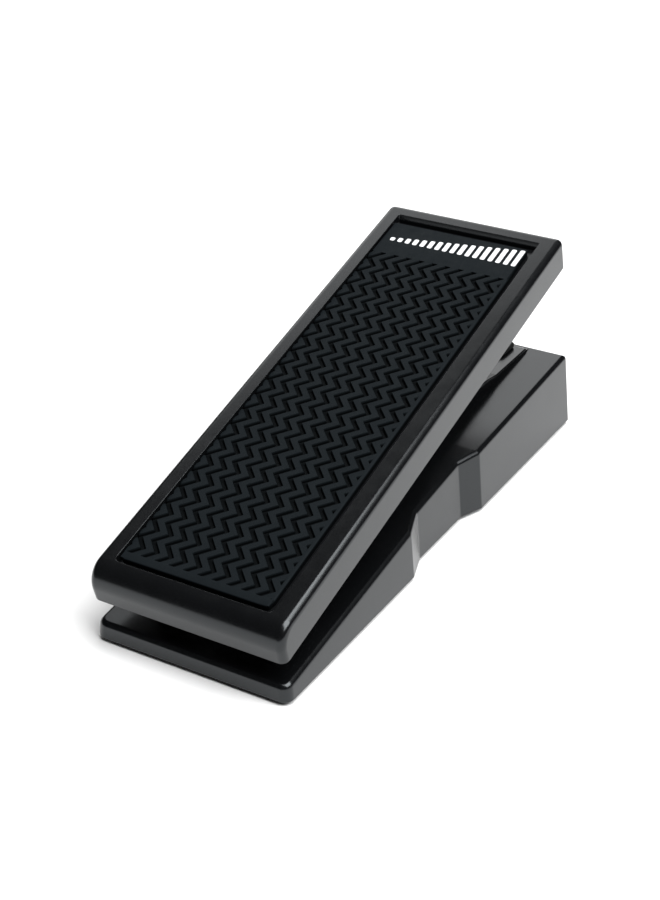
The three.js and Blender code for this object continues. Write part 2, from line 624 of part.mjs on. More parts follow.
function baseGroup() {
  const group = new THREE.Group();
  group.add(piece("base_shell", baseShell(), blackPlastic()));
  group.add(piece("bottom_plate", bottomPlate(), zincPlate()));
  footCentres().forEach(([name, x, y]) => group.add(piece(name, foot(x, y), softRubber())));
  SCREWS.forEach(([x, y], i) => {
    group.add(piece(`plate_screw_${i + 1}`, screw(x, y, PLATE.underside - GAP, SCREW.top), steel()));
  });
  [["heel_stop_left", -1], ["heel_stop_right", 1]].forEach(([name, side]) => {
    const { radius, stem, seat, top, x, y } = HEEL_STOP;
    const low = seat + GAP;
    const peg = [[0, 9], [stem, 9], [stem, low], [radius, low]];
    const profile = [...peg, [radius, top - 0.6], [radius - 0.6, top], [0, top]];
    group.add(piece(name, turned(profile).translate(side * x, y, 0), softRubber()));
  });
  const { halfWidth, from, to, top } = TOE_STOP;
  const pad = plan(roundedRectangle(-halfWidth, halfWidth, from, to - 1.2, 2.5), 39.6, top);
  group.add(piece("toe_stop", pad, softRubber()));
  return group;
}

function controlsGroup() {
  const group = new THREE.Group();
  group.add(piece("jack_socket", jackSocket(), blackPlastic()));
  group.add(piece("jack_washer", jackWasher(), steel()));
  group.add(piece("jack_nut", jackNut(), steel()));
  group.add(piece("polarity_switch_housing", switchHousing(), zincPlate()));
  group.add(piece("polarity_switch_slider", switchSlider(), blackPlastic()));
  const onKnobAxis = [
    piece("range_knob", rangeKnob(), blackPlastic()),
    piece("range_shaft", rangeShaft(), steel()),
    piece("range_potentiometer", rangePot(), zincPlate()),
  ];
  onKnobAxis.forEach((mesh) => mesh.position.set(0, KNOB.y, KNOB.z));
  group.add(...onKnobAxis);
  group.add(piece("circuit_board", circuitBoard(), greenBoard()));
  BOARD_POSTS.forEach(([x, y], i) => {
    const driven = screw(x, y, BOARD.underside - GAP, POST.screwTop, POST.shank);
    group.add(piece(`board_screw_${i + 1}`, driven, steel()));
  });
  group.add(piece("board_connector", boardConnector(), whiteAcetal()));
  group.add(piece("board_chip", boardChip(), blackPlastic()));
  group.add(piece("board_capacitor", boardCapacitor(), blackPlastic()));
  group.add(piece("ribbon_cable", ribbonCable(), finish(0x8a8f94, 0.6)));
  return group;
}

const pedal = new THREE.Group();
pedal.add(baseGroup(), treadleGroup(), driveGroup(), controlsGroup());

export default pedal;
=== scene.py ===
"""Looks for the expression pedal: fine shells, ribbed mat, hardware, materials, light and camera.

Lengths are written in millimetres and turned into metres where a mesh is made.
X runs across the pedal, Y from heel to toe, Z up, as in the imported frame.
"""

import json
import math

import bmesh
import bpy
from mathutils import Matrix, Vector

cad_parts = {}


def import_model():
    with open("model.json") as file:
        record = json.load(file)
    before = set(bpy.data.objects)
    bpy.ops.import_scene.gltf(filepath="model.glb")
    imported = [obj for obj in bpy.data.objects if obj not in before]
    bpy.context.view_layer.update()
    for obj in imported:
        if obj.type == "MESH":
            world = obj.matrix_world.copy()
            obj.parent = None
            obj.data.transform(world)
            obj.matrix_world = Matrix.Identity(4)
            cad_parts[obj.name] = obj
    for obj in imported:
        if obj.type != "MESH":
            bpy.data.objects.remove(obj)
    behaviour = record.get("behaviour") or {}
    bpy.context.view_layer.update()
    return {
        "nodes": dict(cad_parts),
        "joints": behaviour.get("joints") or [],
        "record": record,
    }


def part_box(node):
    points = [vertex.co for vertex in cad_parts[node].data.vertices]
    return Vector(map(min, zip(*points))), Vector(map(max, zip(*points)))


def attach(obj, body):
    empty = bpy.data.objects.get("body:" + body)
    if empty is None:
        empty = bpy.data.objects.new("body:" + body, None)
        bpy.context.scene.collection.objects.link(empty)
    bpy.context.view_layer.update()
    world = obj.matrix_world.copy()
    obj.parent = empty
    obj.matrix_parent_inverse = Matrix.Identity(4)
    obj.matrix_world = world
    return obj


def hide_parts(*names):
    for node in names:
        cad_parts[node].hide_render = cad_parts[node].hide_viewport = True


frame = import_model()

MM = 0.001
OVERLAP = 0.5  # how far a piece runs into the one it is joined to, in millimetres
JOINTS = {joint["name"]: joint for joint in frame["joints"]}
FEET = [node for node in frame["nodes"] if node.startswith("foot_")]
PLATE_SCREWS = [node for node in frame["nodes"] if node.startswith("plate_screw_")]
HEEL_STOPS = "heel_stop_left", "heel_stop_right"

# ---- Base, in millimetres ----
BASE_LENGTH = 270
BASE_HALF = 46.2
BASE_BOTTOM = 1.5
BASE_WALL = 3
SIDE_DRAFT = math.tan(math.radians(5))
HEEL_DRAFT = math.tan(math.radians(2))
TOE_DRAFT = math.tan(math.radians(2.5))
# Corners of its right side, heel to toe: place along (the ends as -1 and 1), step inwards,
# radius, and 1 where the corner points outwards or -1 where it points inwards.
BASE_CORNERS = (
    (-1, 0, 4.5, 1),
    (-31.9, 0, 2.5, 1),
    (-17.5, 4.7, 2.5, -1),
    (22.5, 4.7, 2.5, -1),
    (34.6, 0, 2.5, 1),
    (1, 0, 1, 1),
)
# Its top edge: place along and height.
TOP_EDGE = ((-140, 8.4), (-31.9, 24.1), (34.6, 31), (140, 38.4))
TOP_ROUND = 2.2
# Where a cutter for its toe wall starts and ends, and for its left wall; radii of its holes.
TOE_WALL = (128, 145)
LEFT_WALL = (-50, -34)
JACK_HOLE, SHAFT_HOLE, BUSHING_HOLE = 4.8, 3.5, 4.2
# Half section of the seats of the heel stops: radius and height.
SEAT = ((0, 9), (7.4, 9), (7.4, 14.8), (7, 15.2), (0, 15.2))

# ---- Treadle, in its own frame: x across, s along from the heel, h square to its lower edge ----
TILT = math.radians(15.73)
HEEL_EDGE = (-135.45, 20.4)
TREADLE_LENGTH = 263.2
TREADLE_HALF = 45.55
TREADLE_HEIGHT = 15.9
TREADLE_WALL = 2.8
TREADLE_DEEP = -12  # the height it is made from, before it is cut level
DECK_UNDER = 10.3
INTO_DECK = DECK_UNDER + OVERLAP
NOSE = 9.8
TOE_ROUND = 3.3
SIDE_ROUND = 3
HEEL_CORNER = 3.3
TOE_CORNER = 3.2
RECESS_LEFT, RECESS_RIGHT = -37.6, 36.4
RECESS_FROM, RECESS_TO = 9.9, 256
RECESS_FLOOR = TREADLE_HEIGHT - 3.7
RECESS_CORNER, RECESS_TOE_CORNER = 2.5, 0.8
RECESS_LIP = 0.15
RECESS_STEP = 0.2
BEVEL_RUN, BEVEL_HEIGHT = 1.6, 2.7
# Under its deck: lugs for the axle, long ribs, cross bars and pads over the heel stops.
LUG_AT, LUG_HALF, LUG_RADIUS, LUG_REACH = 28.2, 2.2, 6.2, 11
AXLE_HOLE = 2.8
RIB_AT, RIB_HALF, RIB_LOW = 36, 1.1, 4
BARS, BAR_HALF, BAR_LOW = (34, 62, 200, 228), 1, 5.5
PAD_RADIUS, PAD_LOW, PAD_BEVEL, PAD_SHIFT = 7, 1, 0.4, 1.5

# ---- Mat ----
MAT_LEFT, MAT_RIGHT = -37.45, 33.4
MAT_FROM, MAT_TO = 12.9, 250.8
MAT_TOP = 14.8
MAT_EDGE = 0.5
MAT_CORNER = 2.6
TREAD_FROM, TREAD_TO = 17, 226.86
GROOVE_FIRST = -33.58
GROOVE_PITCH = 6.781
GROOVE_PERIOD = 10.298
GROOVE_SWING = 2.575
TREAD_BORDER = 1.2
GROOVE_DEPTH = 1.6
# Half a groove's section: distance from its middle across X, and share of its full depth.
GROOVE_SECTION = ((0.8, 1), (1.02, 0.92), (1.42, 0.12), (1.66, 0))

# ---- Raised middle of the base, with the tower that holds the pivot ----
PIVOT = Vector(JOINTS["treadle_rock"]["pos_m"]) / MM
HUMP_HALF = 24.2
HUMP_WALL = 2.4
CROWN = 7.5
# Its side outline on each side of the crown: place along, height, radius, then the shares of an
# inset by which the corner moves along and up in an outline that lies further in.
HUMP_TOE = (
    (-78, 3, 0, 1, 0),
    (131, 3, 0, -1, 0),
    (131, 37.7, 0, -1, -1),
    (127, 39.3, 3, -1, -1),
    (94, 39.3, 8, -1 / 4, -1),
    (84, 40.8, 8, -1 / 4, -1),
    (24, 43.5, 5, -1 / 3, -1),
)
HUMP_HEEL = ((-24, 40, 5, 1 / 3, -1), (-52, 30, 8, 1 / 2, -1), (-78, 17, 0, 1, -1))

# ---- Hardware ----
NUT_BORE = 4.7

TO_TREADLE = Matrix.Translation((0, *HEEL_EDGE)) @ Matrix.Rotation(TILT, 4, "X")


# ==== Mesh building ====
def make(name, points, faces):
    """An object from millimetre points."""
    mesh = bpy.data.meshes.new(name)
    mesh.from_pydata([Vector(p) * MM for p in points], [], faces)
    obj = bpy.data.objects.new(name, mesh)
    bpy.context.scene.collection.objects.link(obj)
    tidy(obj)
    return obj


def tidy(obj, smooth=35):
    """Merges doubled points, turns faces outwards and keeps edges over smooth degrees sharp."""
    work = bmesh.new()
    work.from_mesh(obj.data)
    bmesh.ops.remove_doubles(work, verts=work.verts, dist=1e-6)
    bmesh.ops.recalc_face_normals(work, faces=work.faces)
    work.to_mesh(obj.data)
    work.free()
    obj.data.shade_smooth()
    obj.data.set_sharp_from_angle(angle=math.radians(smooth))


def bake(obj):
    """Applies every modifier and returns the object."""
    graph = bpy.context.evaluated_depsgraph_get()
    mesh = bpy.data.meshes.new_from_object(obj.evaluated_get(graph))
    obj.modifiers.clear()
    old = obj.data
    obj.data = mesh
    bpy.data.meshes.remove(old)
    return obj


def combine(target, tools, operation):
    """Joins tools to target, or cuts them from it, and deletes them."""
    for tool in tools:
        modifier = target.modifiers.new("combine", "BOOLEAN")
        modifier.operation = operation
        modifier.solver = "EXACT"
        modifier.object = tool
        bake(target)
        bpy.data.objects.remove(tool)
    return target


def join(target, *tools):
    return combine(target, tools, "UNION")


def cut(target, *tools):
    return combine(target, tools, "DIFFERENCE")


def soften(obj, width=0.35, segments=2):
    """Rounds the edges that are still sharp and evens the shading of flat faces."""
    work = bmesh.new()
    work.from_mesh(obj.data)
    bmesh.ops.dissolve_limit(
        work, angle_limit=math.radians(0.4), verts=work.verts, edges=work.edges
    )
    work.to_mesh(obj.data)
    work.free()
    bevel = obj.modifiers.new("edges", "BEVEL")
    bevel.width = width * MM
    bevel.segments = segments
    bevel.limit_method = "ANGLE"
    bevel.angle_limit = math.radians(40)
    bevel.use_clamp_overlap = True
    bake(obj)
    return finish_edges(obj)


def finish_edges(obj, smooth=35):
    tidy(obj, smooth)
    return weigh(obj)


def weigh(obj):
    """Shades flat faces flat up to their rounded edges."""
    normals = obj.modifiers.new("normals", "WEIGHTED_NORMAL")
    normals.keep_sharp = True
    normals.weight = 80
    return obj


def merge(target, other):
    """Adds another object's faces as they are, and deletes it."""
    work = bmesh.new()
    work.from_mesh(target.data)
    work.from_mesh(other.data)
    work.to_mesh(target.data)
    work.free()
    bpy.data.objects.remove(other)


def strips(rings, closed=True, caps=True):
    """Points and faces of a loft through rings of equally many points."""
    count = len(rings[0])
    points = [p for ring in rings for p in ring]
    faces = []
    for r in range(len(rings) - 1):
        for i in range(count if closed else count - 1):
            a, b = r * count + i, r * count + (i + 1) % count
            faces.append((a, b, b + count, a + count))
    if caps:
        faces.append(tuple(range(count))[::-1])
        faces.append(tuple(range((len(rings) - 1) * count, len(rings) * count)))
    return points, faces


def rounded(corners, steps=6, closed=True):
    """A path of (u, v, radius) corners with each corner turned into an arc."""
    path = []
    last = len(corners) - 1
    for i, (u, v, radius) in enumerate(corners):
        here = Vector((u, v))
        if radius == 0 or (not closed and i in (0, last)):
            path.append(here)
            continue
        before = Vector(corners[i - 1][:2])
        after = Vector(corners[(i + 1) % len(corners)][:2])
        come, go = (here - before).normalized(), (after - here).normalized()
        turn = math.atan2(come.x * go.y - come.y * go.x, come.dot(go))
        start = here - come * radius * math.tan(abs(turn) / 2)
        side = Vector((-come.y, come.x)) * math.copysign(radius, turn)
        centre = start + side
        for k in range(steps + 1):
            path.append(centre + Matrix.Rotation(turn * k / steps, 2) @ (start - centre))
    return path


def outward(path):
    """Outward normals of an anticlockwise path, long enough at corners to keep an even offset."""
    sides = []
    for i, point in enumerate(path):
        along = (point - path[i - 1]).normalized()
        sides.append(Vector((along.y, -along.x)))
    pairs = zip(sides, sides[1:] + sides[:1])
    return [(come + go) / (1 + come.dot(go)) for come, go in pairs]


def pillow(name, path, half, edge, steps=6, centre=0):
    """Carries an anticlockwise (y, z) path across X, with rounded end edges.

    edge is a radius, or a function that gives it from a point's outward normal.
    """
    normals = outward(path)
    radii = [edge(n.normalized()) if callable(edge) else edge for n in normals]
    rings = []
    for side in (-1, 1):
        turns = [k / steps * math.pi / 2 for k in range(steps + 1)]
        for turn in turns if side < 0 else turns[::-1]:
            ring = []
            for point, normal, r in zip(path, normals, radii):
                inner = point - normal * r * (1 - math.sin(turn))
                x = centre + side * (half - r + r * math.cos(turn))
                ring.append((x, inner.x, inner.y))
            rings.append(ring)
    return make(name, *strips(rings))


def block(name, x0, x1, y0, y1, z0, z1):
    """A plain cutting or joining block."""
    rings = [[(x0, y0, z), (x1, y0, z), (x1, y1, z), (x0, y1, z)] for z in (z0, z1)]
    return make(name, *strips(rings))


def slab(near, far, low, high):
    """A cutter that takes away everything between two heights, from near to far along the pedal."""
    return block("slab", -60, 60, near, far, low, high)


def polar(radius, degrees):
    a = math.radians(degrees)
    return radius * math.cos(a), radius * math.sin(a)


def turned(name, profile, centre, axis="Z", sides=48):
    """A body of revolution from (radius, height) pairs; off the axis they close into a ring."""
    rings = []
    for radius, height in profile:
        ring = []
        for k in range(sides):
            angle = 2 * math.pi * k / sides
            ring.append((radius * math.cos(angle), radius * math.sin(angle), height))
        rings.append(ring)
    on_axis = profile[0][0] == 0
    points, faces = strips(rings, caps=on_axis)
    if not on_axis:
        count = len(rings[0])
        last = (len(rings) - 1) * count
        faces += [(last + i, last + (i + 1) % count, (i + 1) % count, i) for i in range(count)]
    to_x, to_y = Matrix.Rotation(math.pi / 2, 4, "Y"), Matrix.Rotation(-math.pi / 2, 4, "X")
    place = Matrix.Translation(centre) @ {"X": to_x, "Y": to_y, "Z": Matrix()}[axis]
    return weigh(make(name, [place @ Vector(p) for p in points], faces))


def rod(radius, start, stop, centre, axis="Z", sides=48):
    """A plain round cutting tool."""
    profile = [(0, start), (radius, start), (radius, stop), (0, stop)]
    return turned("rod", profile, centre, axis, sides)


def prism(name, path, lo, hi, chamfer, place):
    """An anticlockwise path raised from lo to hi with chamfered rims, then placed."""
    normals = outward(path)
    rings = []
    for height, inset in ((lo, chamfer), (lo + chamfer, 0), (hi - chamfer, 0), (hi, chamfer)):
        rings.append([(*(p - n * inset), height) for p, n in zip(path, normals)])
    points, faces = strips(rings)
    return make(name, [place @ Vector(p) for p in points], faces)


def arc(centre, radius, first, last):
    """Corners with no radius of their own, every 10 degrees round a centre, seen from the side."""
    turns = [polar(radius, degrees) for degrees in range(first, last, 10)]
    return [(centre.y + y, centre.z + z, 0) for y, z in turns]


def node_box(node):
    """Lowest and highest corners of a CAD node, in millimetres."""
    lo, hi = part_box(node)
    return lo / MM, hi / MM


def box_middle(node):
    """Middle of a CAD node's box, in millimetres."""
    lo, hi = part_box(node)
    return (lo + hi) / 2 / MM


def on_treadle(obj):
    """Moves a mesh made in the treadle's own frame to its place."""
    obj.data.transform(Matrix.Scale(MM, 4) @ TO_TREADLE @ Matrix.Scale(1 / MM, 4))
    return obj


# ==== Base housing ====
def top_height(y):
    """Height of the base's top at y, from the straight runs of its top edge."""
    for (y0, z0), (y1, z1) in zip(TOP_EDGE, TOP_EDGE[1:]):
        if y <= y1:
            return z0 + (z1 - z0) * (y - y0) / (y1 - y0)
    return TOP_EDGE[-1][1]


def base_ring(inset, height, curl=0):
    """A level of the base: the outline at the floor end of its walls, leaned in up to height(y).

    inset moves the whole wall inwards and curl is how far a rounded edge has turned in.
    """
    half, end = BASE_HALF - inset - curl, BASE_LENGTH / 2 - inset - curl
    least_radius = 0.4
    corners = []
    for y, step, radius, sense in BASE_CORNERS:
        at_end = abs(y) == 1
        rise = height(y * end if at_end else y) - BASE_BOTTOM
        x = half - step - rise * SIDE_DRAFT
        if at_end:
            y = y * (end - rise * (TOE_DRAFT if y > 0 else HEEL_DRAFT))
        corners.append((x, y, max(radius - sense * (inset + curl), least_radius)))
    first, last = (0, corners[0][1], 0), (0, corners[-1][1], 0)
    path = rounded([first, *corners, last], steps=5, closed=False)
    right = [(p.x, p.y, height(p.y)) for p in path]
    return right + [(-x, y, z) for x, y, z in right[-2:0:-1]]


def wedge(name, inset, drop, edge, bottom, bottom_edge=0.4):
    """A closed wedge with drafted walls and a rounded top edge, its top lower by drop."""
    rings = [base_ring(inset, lambda y: bottom, bottom_edge)]
    rings.append(base_ring(inset, lambda y: bottom + bottom_edge))
    steps = 6
    for k in range(steps + 1):
        turn = k / steps * math.pi / 2
        fall = drop + edge * (1 - math.sin(turn))
        rings.append(base_ring(inset, lambda y: top_height(y) - fall, edge * (1 - math.cos(turn))))
    points, faces = strips(rings, caps=False)
    count = len(rings[0])
    for first in (0, (len(rings) - 1) * count):
        for i in range(count // 2):
            face = (first + i, first + i + 1, first + count - i - 1, first + (count - i) % count)
            faces.append(tuple(dict.fromkeys(face)))
    return make(name, points, faces)


def hump_path(inset):
    """Side outline of the raised middle of the base."""
    toe, heel = (
        [(y + inset * u, z + inset * v, radius) for y, z, radius, u, v in half]
        for half in (HUMP_TOE, HUMP_HEEL)
    )
    return rounded(toe + arc(PIVOT, CROWN - inset, 25, 156) + heel, steps=5)


def base_housing():
    body = wedge("base_housing", 0, 0, TOP_ROUND, BASE_BOTTOM)
    join(body, pillow("hump", hump_path(0), HUMP_HALF, 0.9, steps=4))
    for node in HEEL_STOPS:
        stop = box_middle(node)
        join(body, turned("seat", SEAT, (stop.x, stop.y, 0)))
    below = BASE_BOTTOM - 1
    cut(body, wedge("hollow", BASE_WALL, BASE_WALL, edge=1.2, bottom=below, bottom_edge=0.1))
    cut(body, pillow("hump_hollow", hump_path(HUMP_WALL), HUMP_HALF - BASE_WALL, 0.5, steps=2))
    cut(body, *housing_holes())
    return soften(body)


def housing_holes():
    """Cutters for the jack, the switch slot, the knob shaft and the two bushings."""
    jack = box_middle("jack_socket")
    knob = box_middle("range_knob")
    slider_lo, slider_hi = node_box("polarity_switch_slider")
    travel = JOINTS["polarity_slide"]["range_m"][1] / MM
    play_x, play_z = 0.5, 0.4
    slot_x = (slider_lo.x - play_x, slider_hi.x + travel + play_x)
    slot_z = (slider_lo.z - play_z, slider_hi.z + play_z)
    return [
        rod(JACK_HOLE, *TOE_WALL, (jack.x, 0, jack.z), "Y"),
        block("slot", *slot_x, *TOE_WALL, *slot_z),
        rod(SHAFT_HOLE, *LEFT_WALL, (0, knob.y, knob.z), "X"),
        rod(BUSHING_HOLE, -30, 30, PIVOT, "X"),
    ]


# ==== Treadle housing ====
def end_edge(normal):
    """Radius of the treadle's side edges, a little more on upright corners than along the top."""
    at_heel, at_toe = max(0, -normal.x), max(0, normal.x)
    return SIDE_ROUND + (HEEL_CORNER - SIDE_ROUND) * at_heel + (TOE_CORNER - SIDE_ROUND) * at_toe


def recess_ring(height, outset, far):
    """A level of the hollow for the mat, its toe end at far."""
    near, left, right = RECESS_FROM - outset, RECESS_LEFT - outset, RECESS_RIGHT + outset
    corners = [(left, near, RECESS_CORNER), (right, near, RECESS_CORNER)]
    corners += [(right, far, RECESS_TOE_CORNER), (left, far, RECESS_TOE_CORNER)]
    return [(p.x, p.y, height) for p in rounded(corners)]


def recess_cutter():
    """The hollow for the mat; its toe wall leans back to the rim above a short step."""
    foot = RECESS_TO - BEVEL_RUN
    rings = [recess_ring(h, 0, foot) for h in (RECESS_FLOOR, TREADLE_HEIGHT - BEVEL_HEIGHT)]
    for turn in (0, 15, 30, 45, 60, 75):
        a = math.radians(turn)
        outset = RECESS_LIP * (1 - math.cos(a))
        height = TREADLE_HEIGHT - RECESS_LIP * (1 - math.sin(a))
        rings.append(recess_ring(height, outset, RECESS_TO - RECESS_STEP + outset))
    above = 3
    spread = RECESS_LIP + above
    rings.append(recess_ring(TREADLE_HEIGHT + above, spread, RECESS_TO + spread))
    return make("recess", *strips(rings))


def treadle_hollow():
    """The inside of the tray, drawn in towards the deck."""
    half = TREADLE_HALF - TREADLE_WALL
    far = TREADLE_LENGTH - TREADLE_WALL
    levels = (TREADLE_DEEP, 0), (DECK_UNDER - 2, 0.3), (DECK_UNDER - 0.6, 0.9), (DECK_UNDER, 2.3)
    rings = []
    for height, inset in levels:
        near = TREADLE_WALL + inset
        corners = [(-half + inset, near, 2), (half - inset, near, 2)]
        corners += [(half - inset, far - inset, 2), (-half + inset, far - inset, 2)]
        rings.append([(p.x, p.y, height) for p in rounded(corners, steps=4)])
    return make("treadle_hollow", *strips(rings))


def lug(side):
    """One of the two ears that hang from the deck and hold the axle."""
    pivot = TO_TREADLE.inverted() @ PIVOT
    heel, toe = ((pivot.y + reach, INTO_DECK, 0) for reach in (-LUG_REACH, LUG_REACH))
    path = rounded([heel, *arc(pivot, LUG_RADIUS, 190, 351), toe])
    return pillow("lug", path, LUG_HALF, 0.5, steps=2, centre=side * LUG_AT)


def ribs_and_pads():
    """Ribs, cross bars and the pads that meet the heel stops, under the deck."""
    near, far = TREADLE_WALL - OVERLAP, TREADLE_LENGTH - TREADLE_WALL + OVERLAP
    parts = []
    for x in (-RIB_AT, RIB_AT):
        parts.append(block("rib", x - RIB_HALF, x + RIB_HALF, near, far, RIB_LOW, INTO_DECK))
    half = TREADLE_HALF - 2
    for s in BARS:
        parts.append(block("bar", -half, half, s - BAR_HALF, s + BAR_HALF, BAR_LOW, INTO_DECK))
    for node in HEEL_STOPS:
        stop = box_middle(node)
        along = (stop.y - HEEL_EDGE[0]) / math.cos(TILT) + PAD_SHIFT
        profile = [(0, PAD_LOW), (PAD_RADIUS - PAD_BEVEL, PAD_LOW)]
        profile += [(PAD_RADIUS, PAD_LOW + PAD_BEVEL), (PAD_RADIUS, INTO_DECK), (0, INTO_DECK)]
        parts.append(turned("pad", profile, (stop.x, along, 0)))
    return parts


def treadle_housing():
    """The tray: made too deep and cut level, so its lower edge is square until it is softened."""
    corners = [(0, TREADLE_DEEP, 0), (TREADLE_LENGTH, TREADLE_DEEP, 0)]
    corners += [(TREADLE_LENGTH, TREADLE_HEIGHT, TOE_ROUND), (0, TREADLE_HEIGHT, NOSE)]
    outline = rounded(corners, steps=12)
    body = pillow("treadle_housing", outline, TREADLE_HALF, end_edge, steps=8)
    cut(body, treadle_hollow(), slab(-20, 300, -30, 0))
    join(body, *ribs_and_pads(), lug(-1), lug(1))
    cut(body, rod(AXLE_HOLE, -35, 35, TO_TREADLE.inverted() @ PIVOT, "X"))
    cut(soften(body), recess_cutter())
    return on_treadle(soften(body, 0.1, 1))


# ==== Tread mat ====
def swing(s):
    """Sideways offset of the zigzag at s; past the share tip of its swing it rounds off."""
    tip = 0.93
    phase = ((s - TREAD_TO) / GROOVE_PERIOD) % 1
    wave = 1 - 4 * abs(phase - 0.5)
    if abs(wave) > tip:
        over = (abs(wave) - tip) / (1 - tip)
        wave = math.copysign(tip + (1 - tip) * (over - over * over / 2), wave)
    return -GROOVE_SWING * wave


def groove_depth(x, s):
    """Depth of the tread at a point, from its distance to the nearest groove's middle."""
    across = (x - swing(s) - GROOVE_FIRST) / GROOVE_PITCH
    offset = abs(across - round(across)) * GROOVE_PITCH
    if offset <= GROOVE_SECTION[0][0]:
        return GROOVE_DEPTH
    for (u0, d0), (u1, d1) in zip(GROOVE_SECTION, GROOVE_SECTION[1:]):
        if offset <= u1:
            return GROOVE_DEPTH * (d0 + (d1 - d0) * (offset - u0) / (u1 - u0))
    return 0


def tread_stations():
    """Places along the mat where its surface is cut: closest round each tip of the zigzag."""
    half = GROOVE_PERIOD / 2
    count = int((TREAD_TO - TREAD_FROM) / half)
    stations = set()
    for i in range(count + 2):
        tip = TREAD_TO - i * half
        stations.update(tip + step for step in (-0.45, -0.2, 0, 0.2, 0.45))
        stations.update(tip - half * share for share in (0.3, 0.5, 0.7))
    return sorted(s for s in stations if TREAD_FROM < s < TREAD_TO)


def mat_rows():
    """(s, tread share) pairs: share 0 is flat rubber, 1 is full groove depth."""
    run_out = 0.25
    rows = [(MAT_FROM + MAT_EDGE, 0), (TREAD_FROM - run_out, 0), (TREAD_FROM, 1)]
    rows += [(s, 1) for s in tread_stations()]
    rows += [(TREAD_TO, 1), (TREAD_TO + run_out, 0), (MAT_TO - MAT_EDGE, 0)]
    return rows


def tread_rubber():
    """The mat: a top grid that follows the grooves, a rounded edge and an underside."""
    half = [u for u, _ in GROOVE_SECTION]
    knots = [-u for u in reversed(half)] + half
    count = int((MAT_RIGHT - MAT_LEFT) / GROOVE_PITCH) + 4
    columns = [GROOVE_FIRST + (g - 1) * GROOVE_PITCH + k for g in range(count) for k in knots]
    left, right = MAT_LEFT + MAT_EDGE, MAT_RIGHT - MAT_EDGE
    border = right - TREAD_BORDER
    grid = []
    for s, share in mat_rows():
        row = []
        for column in columns:
            x = min(max(column + swing(s), left), border)
            row.append((x, s, MAT_TOP - share * groove_depth(x, s)))
        row += [(border + 0.2, s, MAT_TOP), (right, s, MAT_TOP)]
        grid.append(row)
    rim = mat_rim(grid)
    body = make("tread_rubber", *strips(grid, closed=False, caps=False))
    merge(body, make("skirt", *rim))
    tidy(body, 30)
    return on_treadle(body)


def mat_rim(grid):
    """The rounded edge, the sides and the underside that close the mat under its top grid."""
    loop = list(grid[0]) + [row[-1] for row in grid[1:]] + list(reversed(grid[-1]))[1:]
    loop += [row[0] for row in reversed(grid[1:-1])]
    rings = [loop]
    for turn in (30, 60, 90):
        a = math.radians(turn)
        drop = MAT_EDGE * (1 - math.cos(a))
        rings.append([grown(p, MAT_EDGE * math.sin(a), p[2] - drop) for p in loop])
    rings.append([grown(p, MAT_EDGE, RECESS_FLOOR + 0.3) for p in loop])
    points, faces = strips(rings, caps=False)
    first = (len(rings) - 1) * len(loop)
    faces.append(tuple(range(first, first + len(loop))))
    return points, faces


def grown(point, amount, height):
    """A point on the edge of the mat's top moved outwards, round the mat's corners, to a height."""
    middle = Vector(((MAT_LEFT + MAT_RIGHT) / 2, (MAT_FROM + MAT_TO) / 2))
    limit = Vector(((MAT_RIGHT - MAT_LEFT) / 2, (MAT_TO - MAT_FROM) / 2))
    slack = 0.01
    x, s = point[0] - middle.x, point[1] - middle.y
    if abs(x) > limit.x - MAT_EDGE - slack:
        x = math.copysign(limit.x - MAT_EDGE + amount, x)
    if abs(s) > limit.y - MAT_EDGE - slack:
        s = math.copysign(limit.y - MAT_EDGE + amount, s)
    # The edge's first step turns a tighter corner, because it starts from the square top grid.
    corner = MAT_CORNER if amount > 0.4 else MAT_CORNER - 0.3
    cx, cs = limit.x - MAT_EDGE + amount - corner, limit.y - MAT_EDGE + amount - corner
    if abs(x) > cx and abs(s) > cs:
        away = Vector((abs(x) - cx, abs(s) - cs))
        if away.length > corner:
            away = away.normalized() * corner
        x, s = math.copysign(cx + away.x, x), math.copysign(cs + away.y, s)
    return (middle.x + x, middle.y + s, height)


def level_print():
    """The printed mark: a row of bars that grow from left to right."""
    count, width, pitch, corner = 17, 2.3, 3.95, 0.7
    first_tall, growth = 2.4, 0.62
    base_line, shift = 237, 0.4
    bottom, top = MAT_TOP - 0.1, MAT_TOP + 0.08
    place = Matrix.Translation((-count * pitch / 2 + shift, base_line, 0))
    bars = []
    for i in range(count):
        tall = first_tall + i * growth
        corners = [(x, y, corner) for x, y in ((0, 0), (width, 0), (width, tall), (0, tall))]
        here = place @ Matrix.Translation((i * pitch, 0, 0))
        bars.append(prism("mat_print", rounded(corners, steps=4), bottom, top, 0.02, here))
    for bar in bars[1:]:
        merge(bars[0], bar)
    tidy(bars[0], 30)
    return on_treadle(bars[0])


# ==== Hardware ====
def box_and_axis(node):
    """A CAD node's lowest and highest corners, and the foot of its upright axis."""
    lo, hi = node_box(node)
    middle = (lo + hi) / 2
    return lo, hi, (middle.x, middle.y, 0)


def rubber_foot(node):
    _, hi, place = box_and_axis(node)
    stem, tip = 2.6, 2.2
    profile = [(0, 0.35), (5, 0.35), (5.4, 0), (7.2, 0), (7.8, 0.25), (8, 0.7), (7.85, 1.25)]
    profile += [(7.5, 1.5), (stem, 1.5), (stem, hi.z - 0.5), (tip, hi.z), (0, hi.z)]
    return turned(node + "_fine", profile, place)


